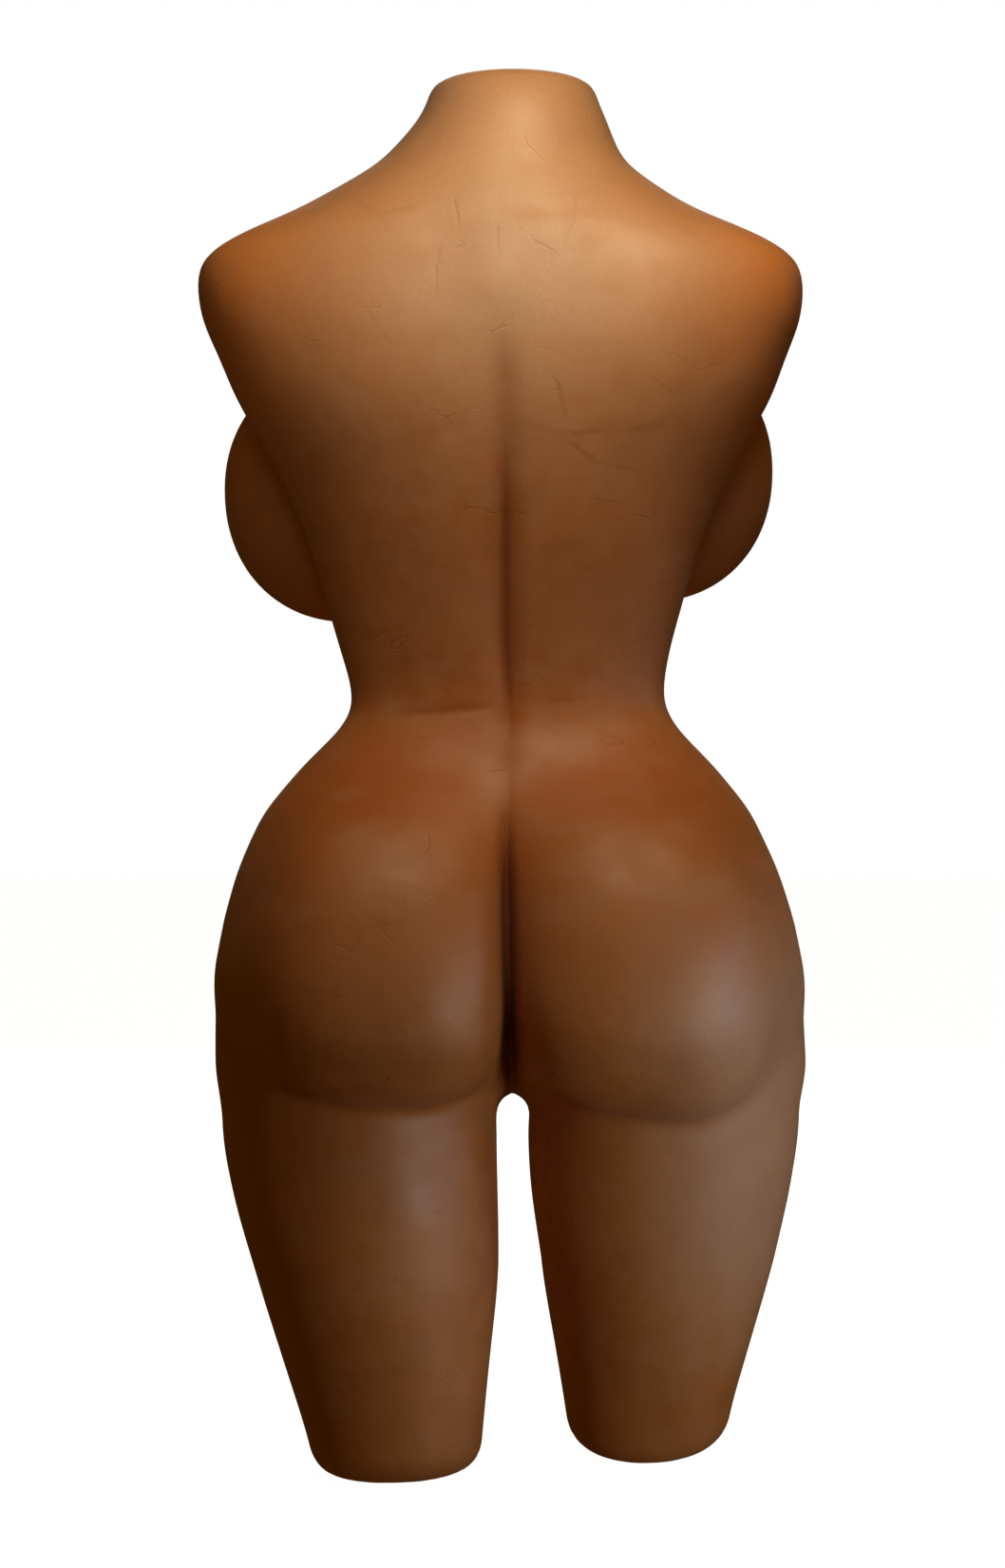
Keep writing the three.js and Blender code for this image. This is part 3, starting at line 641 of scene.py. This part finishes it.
def node(tree, kind, inputs=None, **settings):
    """A new node with its inputs linked or set."""
    made = tree.nodes.new(kind)
    for key, value in settings.items():
        setattr(made, key, value)
    for key, value in (inputs or {}).items():
        if isinstance(value, bpy.types.NodeSocket):
            tree.links.new(value, made.inputs[key])
        else:
            made.inputs[key].default_value = value
    return made


def blended_colour(tree, factor, low, high):
    inputs = {"Factor": factor, "A": low, "B": high}
    return node(tree, "ShaderNodeMix", inputs, data_type="RGBA").outputs["Result"]


def remapped(tree, value, low, high, start=0.0, end=1.0):
    """A value's run from low to high spread over start to end, and held beyond them."""
    inputs = {"Value": value, "From Min": low, "From Max": high, "To Min": start, "To Max": end}
    return node(tree, "ShaderNodeMapRange", inputs).outputs["Result"]


def computed(tree, operation, a, b):
    """The result of a sum on two values, each a socket or a number."""
    made = tree.nodes.new("ShaderNodeMath")
    made.operation = operation
    for socket, value in zip(made.inputs, (a, b)):
        if isinstance(value, bpy.types.NodeSocket):
            tree.links.new(value, socket)
        else:
            socket.default_value = value
    return made.outputs[0]


def product(tree, *values):
    total = values[0]
    for value in values[1:]:
        total = computed(tree, "MULTIPLY", total, value)
    return total


def total_of(tree, *values):
    total = values[0]
    for value in values[1:]:
        total = computed(tree, "ADD", total, value)
    return total


def vector_math(tree, operation, *values, output="Vector"):
    inputs = dict(enumerate(values))
    return node(tree, "ShaderNodeVectorMath", inputs, operation=operation).outputs[output]


def noise(tree, place, scale, detail, output="Fac"):
    inputs = {"Vector": place, "Scale": scale, "Detail": detail}
    return node(tree, "ShaderNodeTexNoise", inputs).outputs[output]


def stretched(tree, place, scale):
    return node(tree, "ShaderNodeMapping", {"Vector": place, "Scale": scale}).outputs["Vector"]


def finish_surface(tree, shader, tone, roughness, height, relief, metallic=0.0):
    """Links a tone, a roughness and a height whose full run is relief millimetres to a shader."""
    tree.links.new(tone, shader.inputs["Base Color"])
    tree.links.new(roughness, shader.inputs["Roughness"])
    shader.inputs["Metallic"].default_value = metallic
    raised = node(tree, "ShaderNodeBump", {"Height": height, "Strength": 1.0, "Distance": relief * MM})
    tree.links.new(raised.outputs["Normal"], shader.inputs["Normal"])


def fine_lines(tree, place, cell, width, share):
    """Thin wandering lines: 1 on a line. A line is width millimetres wide, and a share of them shows."""
    wander = noise(tree, place, 2.2 / cell, 2.0, "Color")
    bent = vector_math(tree, "MULTIPLY", wander, (0.9 * cell,) * 3)
    moved = vector_math(tree, "ADD", place, bent)
    inputs = {"Vector": moved, "Scale": 1 / cell}
    edges = node(tree, "ShaderNodeTexVoronoi", inputs, feature="DISTANCE_TO_EDGE")
    line = remapped(tree, edges.outputs["Distance"], 0.0, width / cell, 1.0, 0.0)
    patches = noise(tree, place, 1.7 / cell, 2.0)
    shown = remapped(tree, patches, 0.66 - 0.2 * share, 0.72 - 0.2 * share)
    return product(tree, line, shown)


def specks(tree, place, cell, radius, share):
    """Small dark dots, one in a share of the cells."""
    dots = node(tree, "ShaderNodeTexVoronoi", {"Vector": place, "Scale": 1 / cell})
    dot = remapped(tree, dots.outputs["Distance"], 0.6 * radius / cell, radius / cell, 1.0, 0.0)
    pick = node(tree, "ShaderNodeSeparateColor", {"Color": dots.outputs["Color"]}).outputs[0]
    chosen = computed(tree, "LESS_THAN", pick, share)
    return product(tree, dot, chosen)


# Faint handling lines on the back: from (x, z), to (x, z), width and strength, all in body millimetres
# but the strength, which is from 0 to 1.
BACK_LINES = [
    ((35, 809), (30, 780), 1.6, 0.8),
    ((39, 780), (45, 733), 1.6, 0.6),
    ((97, 806), (80, 792), 3.0, 0.7),
    ((80, 792), (53, 799), 2.6, 0.6),
    ((80, 792), (70, 778), 2.6, 0.4),
    ((120, 789), (113, 779), 1.6, 0.5),
    ((7, 792), (4, 762), 1.6, 0.5),
    ((-46, 812), (-33, 766), 1.6, 0.5),
    ((-28, 693), (-37, 663), 2.6, 1.0),
    ((-7, 663), (-33, 656), 4.0, 0.8),
    ((-31, 656), (-64, 658), 3.0, 0.9),
    ((-60, 657), (-101, 662), 3.0, 0.6),
    ((-34, 654), (-58, 638), 3.0, 0.9),
    ((-56, 639), (-87, 634), 3.0, 0.6),
    ((-79, 695), (-108, 678), 1.8, 0.7),
    ((95, 740), (62, 700), 2.6, 0.4),
]
CROOKED = 4.0  # how far a handling line wanders from straight, in millimetres


def stroke(tree, flat, start, end, width, strength):
    """A line between two places: strength in its middle, and nothing beyond its width and its ends."""
    run = (end[0] - start[0], 0, end[1] - start[1])
    squared = run[0] ** 2 + run[2] ** 2
    offset = vector_math(tree, "SUBTRACT", flat, (start[0], 0, start[1]))
    dot = vector_math(tree, "DOT_PRODUCT", offset, run, output="Value")
    along = remapped(tree, dot, 0.0, squared)
    scaling = {0: run, "Scale": along}
    nearest = node(tree, "ShaderNodeVectorMath", scaling, operation="SCALE").outputs["Vector"]
    gap = vector_math(tree, "DISTANCE", offset, nearest, output="Value")
    line = remapped(tree, gap, 0.2 * width, width, strength, 0.0)
    ends = product(tree, remapped(tree, along, 0.0, 0.3), remapped(tree, along, 1.0, 0.7))
    return product(tree, line, ends)


def back_lines(tree, place):
    """All the handling lines of the back, a little crooked."""
    wander = noise(tree, place, 0.05, 2.0, "Color")
    bent = vector_math(tree, "MULTIPLY", wander, (2 * CROOKED, 0, 2 * CROOKED))
    flat = vector_math(tree, "MULTIPLY_ADD", place, (1, 0, 1), bent)
    flat = vector_math(tree, "ADD", flat, (-CROOKED, 0, -CROOKED))
    lines = total_of(tree, *(stroke(tree, flat, *line) for line in BACK_LINES))
    depth = node(tree, "ShaderNodeSeparateXYZ", {"Vector": place}).outputs["Y"]
    return product(tree, lines, remapped(tree, depth, 0.0, 20.0))


# Colours of the skin, in linear red, green, blue and alpha.
SKIN = {
    "deep": (0.44, 0.148, 0.036, 1),
    "light": (0.52, 0.185, 0.05, 1),
    "mottle": (0.56, 0.215, 0.07, 1),
    # paler upper back: partly the skin's own tone, partly a painted sheen where the light falls
    "upper_tone_and_sheen": (0.52, 0.245, 0.105, 1),
    # paler still in the middle of the upper back: partly the skin's own tone, partly a painted sheen
    "middle": (0.50, 0.30, 0.175, 1),
    # painted shade: a more saturated orange at the shoulder ends, where they turn away from the light
    "shoulder_edge_shade": (0.68, 0.21, 0.035, 1),
    # outer right hip and thigh: partly the skin's own tone, partly a painted cool reflection
    "flank_tone_and_reflection": (0.50, 0.30, 0.21, 1),
    # painted shade: a darker, warmer tone over the top of the hips that damps the sheen there
    "hip_top": (0.45, 0.105, 0.010, 1),
    "scuff": (0.50, 0.225, 0.095, 1),
    "pore": (0.34, 0.10, 0.025, 1),
    # painted shade in the creases
    "hollow": (0.20, 0.045, 0.008, 1),
    "mark": (0.27, 0.075, 0.017, 1),
    "speck": (0.05, 0.02, 0.01, 1),
}


def skin_regions(tree, place, mottle):
    """How much of each regional colour shows over the body, broadest first. The paler upper back and the outer
    right flank are partly the skin's own tone and partly a painted sheen and a painted cool reflection; the
    shoulder ends and the top of the hips carry painted shade.
    """
    x, y, z = node(tree, "ShaderNodeSeparateXYZ", {"Vector": place}).outputs
    height = total_of(tree, z, product(tree, mottle, 30.0))
    off_middle = computed(tree, "ABSOLUTE", x, 0.0)
    # partly painted sheen: the upper body grows paler with height
    upper_tone_and_sheen = remapped(tree, height, 620.0, 740.0, 0.0, 0.65)
    # partly painted sheen: paler still towards the middle of the upper back
    middle = product(tree, upper_tone_and_sheen, remapped(tree, off_middle, 110.0, 20.0, 0.0, 0.7))
    # painted shade at the shoulder ends
    shoulder_edge_shade = product(
        tree,
        remapped(tree, off_middle, 115.0, 175.0, 0.0, 0.85),
        remapped(tree, height, 620.0, 680.0),
    )
    # partly a painted cool reflection on the outer right hip and thigh
    flank_tone_and_reflection = product(
        tree,
        remapped(tree, x, -60.0, -135.0, 0.0, 0.6),
        remapped(tree, height, 420.0, 320.0),
        remapped(tree, height, 60.0, 160.0),
        remapped(tree, y, -40.0, 40.0),
    )
    # painted shade over the top of the hips and the sacrum
    hip_top = product(
        tree,
        remapped(tree, height, 330.0, 460.0),
        remapped(tree, height, 540.0, 490.0),
        remapped(tree, y, 0.0, 50.0),
        0.75,
    )
    return {
        "upper_tone_and_sheen": upper_tone_and_sheen,
        "middle": middle,
        "shoulder_edge_shade": shoulder_edge_shade,
        "flank_tone_and_reflection": flank_tone_and_reflection,
        "hip_top": hip_top,
    }


def flesh_material():
    """Satin cast elastomer, a little mottled, with handling lines and specks, painted shade in its creases, and
    regional tones that are partly painted sheen, reflection and shade.
    """
    material, tree, shader = new_material("skin")
    place = node(tree, "ShaderNodeAttribute", attribute_name="body_mm").outputs["Vector"]
    # painted shade: how far down in a crease each point lies, for darkening the skin there
    hollows = node(tree, "ShaderNodeAttribute", attribute_name="hollow").outputs["Fac"]
    cloud = remapped(tree, noise(tree, place, 0.011, 3.0), 0.35, 0.65)
    mottle = remapped(tree, noise(tree, place, 0.06, 5.0), 0.3, 0.7)
    grain = noise(tree, place, 0.55, 4.0)
    scuffs = remapped(tree, noise(tree, stretched(tree, place, (1, 1, 2.5)), 0.02, 6.0), 0.5, 0.75)
    folds = fine_lines(tree, stretched(tree, place, (0.8, 0.8, 1.9)), 70, 1.1, 0.35)
    scratches = fine_lines(tree, place, 150, 0.9, 0.5)
    creases = back_lines(tree, place)
    marks = total_of(
        tree,
        product(tree, scratches, 0.20),
        product(tree, folds, 0.16),
        product(tree, creases, 0.20),
    )

    layers = {"mottle": product(tree, mottle, 0.5)}
    # regional tones, partly painted sheen, reflection and shade
    layers.update(skin_regions(tree, place, mottle))
    layers["scuff"] = product(tree, scuffs, 0.4)
    layers["pore"] = remapped(tree, grain, 0.4, 0.7, 0.0, 0.16)
    # painted shade darkens the skin in its creases
    layers["hollow"] = product(tree, hollows, 0.75)
    layers["mark"] = marks
    layers["speck"] = product(tree, specks(tree, place, 34, 0.9, 0.12), 0.7)
    tone = blended_colour(tree, cloud, SKIN["deep"], SKIN["light"])
    for name, factor in layers.items():
        tone = blended_colour(tree, factor, tone, SKIN[name])

    satin = remapped(tree, noise(tree, place, 0.03, 5.0), 0.3, 0.7, 0.44, 0.58)
    roughness = total_of(tree, satin, product(tree, scuffs, 0.08))
    dents = noise(tree, place, 0.05, 2.0)
    cuts = total_of(tree, scratches, folds, creases)
    height = total_of(tree, product(tree, grain, 0.05), product(tree, dents, 0.7))
    height = computed(tree, "SUBTRACT", height, product(tree, cuts, 0.22))
    finish_surface(tree, shader, tone, roughness, height, 0.6)
    shine = remapped(tree, hollows, 0.0, 0.5, 0.7, 0.2)
    tree.links.new(shine, shader.inputs["Specular IOR Level"])
    shader.inputs["Sheen Weight"].default_value = 0.05
    shader.inputs["Sheen Roughness"].default_value = 0.45
    shader.inputs["Sheen Tint"].default_value = (1.0, 0.86, 0.74, 1)
    return material


def row_place(tree):
    """Where a point of a CAD node is at rest, in millimetres."""
    place = node(tree, "ShaderNodeTexCoord").outputs["Object"]
    return stretched(tree, place, (1 / MM,) * 3)


def foam_material():
    """Open-cell foam, yellowed in patches."""
    material, tree, shader = new_material("foam")
    place = row_place(tree)
    patches = remapped(tree, noise(tree, place, 0.02, 3.0), 0.35, 0.7)
    tone = blended_colour(tree, patches, (0.72, 0.62, 0.42, 1), (0.60, 0.45, 0.24, 1))
    cells = node(tree, "ShaderNodeTexVoronoi", {"Vector": place, "Scale": 0.7}).outputs["Distance"]
    pores = remapped(tree, cells, 0.0, 0.6)
    tone = blended_colour(tree, product(tree, pores, 0.3), tone, (0.40, 0.30, 0.17, 1))
    roughness = remapped(tree, patches, 0.0, 1.0, 0.9, 1.0)
    finish_surface(tree, shader, tone, roughness, pores, 0.5)
    return material


def steel_material():
    """Turned steel bar with drawing marks, fine scratches and dull oily patches."""
    material, tree, shader = new_material("frame_steel")
    place = row_place(tree)
    grain = noise(tree, stretched(tree, place, (3.0, 3.0, 0.12)), 1.0, 4.0)
    patches = remapped(tree, noise(tree, place, 0.04, 4.0), 0.4, 0.7)
    scratches = fine_lines(tree, place, 14, 0.12, 0.8)
    tone = blended_colour(tree, grain, (0.24, 0.245, 0.255, 1), (0.36, 0.365, 0.37, 1))
    tone = blended_colour(tree, product(tree, patches, 0.5), tone, (0.20, 0.18, 0.155, 1))
    roughness = remapped(tree, total_of(tree, grain, patches), 0.4, 1.6, 0.28, 0.5)
    height = computed(tree, "SUBTRACT", grain, product(tree, scratches, 0.6))
    finish_surface(tree, shader, tone, roughness, height, 0.04, 1.0)
    return material


def zinc_material():
    """Bright zinc plate with the cloudy edges of its crystals."""
    material, tree, shader = new_material("zinc_hardware")
    place = row_place(tree)
    crystals = node(tree, "ShaderNodeTexVoronoi", {"Vector": place, "Scale": 0.35}).outputs["Distance"]
    cloud = remapped(tree, crystals, 0.1, 0.8)
    wear = remapped(tree, noise(tree, place, 0.25, 5.0), 0.5, 0.75)
    tone = blended_colour(tree, cloud, (0.52, 0.54, 0.57, 1), (0.43, 0.44, 0.45, 1))
    tone = blended_colour(tree, product(tree, wear, 0.4), tone, (0.30, 0.285, 0.26, 1))
    roughness = remapped(tree, wear, 0.0, 1.0, 0.26, 0.42)
    finish_surface(tree, shader, tone, roughness, cloud, 0.03, 1.0)
    return material


def plastic_material():
    """Black moulded plastic with a fine spark-eroded grain."""
    material, tree, shader = new_material("cap_plastic")
    place = row_place(tree)
    grain = noise(tree, place, 2.4, 3.0)
    dust = remapped(tree, noise(tree, place, 0.12, 5.0), 0.5, 0.8)
    dusty = product(tree, dust, 0.5)
    tone = blended_colour(tree, dusty, (0.011, 0.011, 0.012, 1), (0.04, 0.038, 0.035, 1))
    roughness = remapped(tree, dust, 0.0, 1.0, 0.5, 0.65)
    finish_surface(tree, shader, tone, roughness, grain, 0.06)
    return material


def fibre_material():
    """Pressed brown fibre with short strands."""
    material, tree, shader = new_material("friction_fibre")
    place = row_place(tree)
    strands = noise(tree, stretched(tree, place, (4.0, 0.7, 1.4)), 0.8, 4.0)
    flecks = specks(tree, place, 2.4, 0.5, 0.4)
    tone = blended_colour(tree, strands, (0.10, 0.045, 0.018, 1), (0.20, 0.10, 0.045, 1))
    tone = blended_colour(tree, product(tree, flecks, 0.6), tone, (0.33, 0.21, 0.11, 1))
    roughness = remapped(tree, strands, 0.0, 1.0, 0.75, 0.9)
    finish_surface(tree, shader, tone, roughness, strands, 0.08)
    return material


# ------------------------------------------------------------------ stage, light and camera

# Lengths here are in metres, but for the camera's sensor and lens.
FLOOR_HALF = 12.0
FLOOR_DROP = 0.001  # keeps the floor clear of the soles
WORLD_TINT = (1, 0.50, 0.03, 1)
WORLD_STRENGTH = 0.084
CAMERA_X = 0.003
CAMERA_HEIGHT = 0.443
CAMERA_DISTANCE = 1.8
FRAME_HEIGHT = 1.010625  # height that the frame takes in at the hip pins
SENSOR = 36.0  # millimetres
KEY_FROM = (-0.09, 0.48, 1.10)
KEY_TO = (0, 0.06, 0.80)
KEY_SIZE = (0.35, 0.25)
# Kind, name, place, aim, size, watts, colour, and whether it leaves a sheen as well as lighting the skin.
# An area's size is its two sides. A spot's is its radius and its cone in degrees.
LIGHTS = [
    ("AREA", "key", KEY_FROM, KEY_TO, KEY_SIZE, 2.7, (1.0, 0.91, 0.62), True),
    ("AREA", "dull_key", KEY_FROM, KEY_TO, KEY_SIZE, 1.1, (0.1, 0.42, 1.0), False),
    ("SPOT", "low_side", (-0.8, 0.9, 0.15), (-0.1, 0.05, 0.18), (0.12, 34), 19.0, (0.84, 1.0, 1.0), True),
    ("SPOT", "cool_side", (-1.6, 0.5, 0.30), (0, 0.05, 0.22), (0.25, 30), 20.0, (0.40, 0.62, 1.0), True),
    ("SPOT", "back_fill", (0.0, 1.6, 0.9), (0, 0, 0.72), (0.2, 26), 21.0, (0.78, 0.86, 1.0), False),
    ("AREA", "front", (0.0, -2.0, 1.6), (0, 0, 0.5), (0.6, 0.6), 26.0, (1.0, 0.93, 0.85), False),
    ("AREA", "front_gloss", (0.0, -1.7, 1.9), (0, 0, 0.6), (0.8, 0.5), 5.0, (1.0, 0.96, 0.92), True),
]


def build_light(kind, name, location, target, size, power, color, sheen):
    """A soft light that faces its target. A spot fades evenly from the middle of its cone to the edge."""
    data = bpy.data.lights.new(name, kind)
    if kind == "AREA":
        data.shape = "RECTANGLE"
        data.size, data.size_y = size
    else:
        data.shadow_soft_size = size[0]
        data.spot_size = math.radians(size[1])
        data.spot_blend = 1.0
    data.energy = power
    data.color = color
    light = bpy.data.objects.new(name, data)
    bpy.context.scene.collection.objects.link(light)
    light.location = location
    aim = Vector(target) - Vector(location)
    light.rotation_mode = "QUATERNION"
    light.rotation_quaternion = aim.to_track_quat("-Z", "Y")
    light.visible_glossy = sheen


def floor_material():
    """Pale paint that keeps its brightness to the camera however little light falls on it."""
    material, tree, shader = new_material("floor_paint")
    shader.inputs["Base Color"].default_value = (0.25, 0.25, 0.25, 1)
    shader.inputs["Roughness"].default_value = 0.9
    shader.inputs["Specular IOR Level"].default_value = 0.0
    shader.inputs["Emission Color"].default_value = (1.0, 1.0, 1.0, 1)
    shader.inputs["Emission Strength"].default_value = 0.985
    return material


def build_floor():
    mesh = bpy.data.meshes.new("floor")
    turns = [(-1, -1), (1, -1), (1, 1), (-1, 1)]
    corners = [(x * FLOOR_HALF, y * FLOOR_HALF, 0) for x, y in turns]
    mesh.from_pydata(corners, [], [(0, 1, 2, 3)])
    floor = bpy.data.objects.new("floor", mesh)
    bpy.context.scene.collection.objects.link(floor)
    floor.location.z = -FLOOR_DROP
    mesh.materials.append(floor_material())
    floor.visible_diffuse = False
    floor.visible_glossy = False


def build_world():
    """White to the camera, and a faint warm light to everything else."""
    world = bpy.data.worlds.new("studio")
    world.use_nodes = True
    bpy.context.scene.world = world
    tree = world.node_tree
    tree.nodes.clear()
    seen = node(tree, "ShaderNodeBackground", {"Color": (1, 1, 1, 1), "Strength": 1.0})
    given = node(tree, "ShaderNodeBackground", {"Color": WORLD_TINT, "Strength": WORLD_STRENGTH})
    path = node(tree, "ShaderNodeLightPath")
    mix = node(tree, "ShaderNodeMixShader", {"Fac": path.outputs["Is Camera Ray"]})
    tree.links.new(given.outputs[0], mix.inputs[1])
    tree.links.new(seen.outputs[0], mix.inputs[2])
    output = node(tree, "ShaderNodeOutputWorld")
    tree.links.new(mix.outputs[0], output.inputs["Surface"])


def build_camera():
    """A level camera behind the body."""
    data = bpy.data.cameras.new("camera")
    camera = bpy.data.objects.new("camera", data)
    bpy.context.scene.collection.objects.link(camera)
    data.sensor_fit = "VERTICAL"
    data.sensor_height = SENSOR
    data.lens = SENSOR * CAMERA_DISTANCE / FRAME_HEIGHT
    camera.location = (CAMERA_X, PIN[1] + CAMERA_DISTANCE, CAMERA_HEIGHT)
    camera.rotation_euler = (math.radians(90), 0, math.radians(180))
    bpy.context.scene.camera = camera


# ------------------------------------------------------------------ assembly

flesh_pieces = build_flesh()
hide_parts("chest_skin", "pelvis_skin")
for name in SIDES:
    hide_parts(f"{name}_thigh_skin")

FINISHES = {
    "skin": flesh_material(),
    "foam": foam_material(),
    "frame_steel": steel_material(),
    "zinc_hardware": zinc_material(),
    "cap_plastic": plastic_material(),
    "friction_fibre": fibre_material(),
}
for piece in flesh_pieces.values():
    piece.data.materials.append(FINISHES["skin"])
for subpart in frame["record"]["subparts"]:
    cad = frame["nodes"][subpart["node"]]
    cad.data.materials.clear()
    cad.data.materials.append(FINISHES[subpart["material_slot"]])

build_floor()
build_world()
build_camera()
for light in LIGHTS:
    build_light(*light)

scene = bpy.context.scene
scene.view_settings.view_transform = "Standard"
scene.view_settings.gamma = 0.9
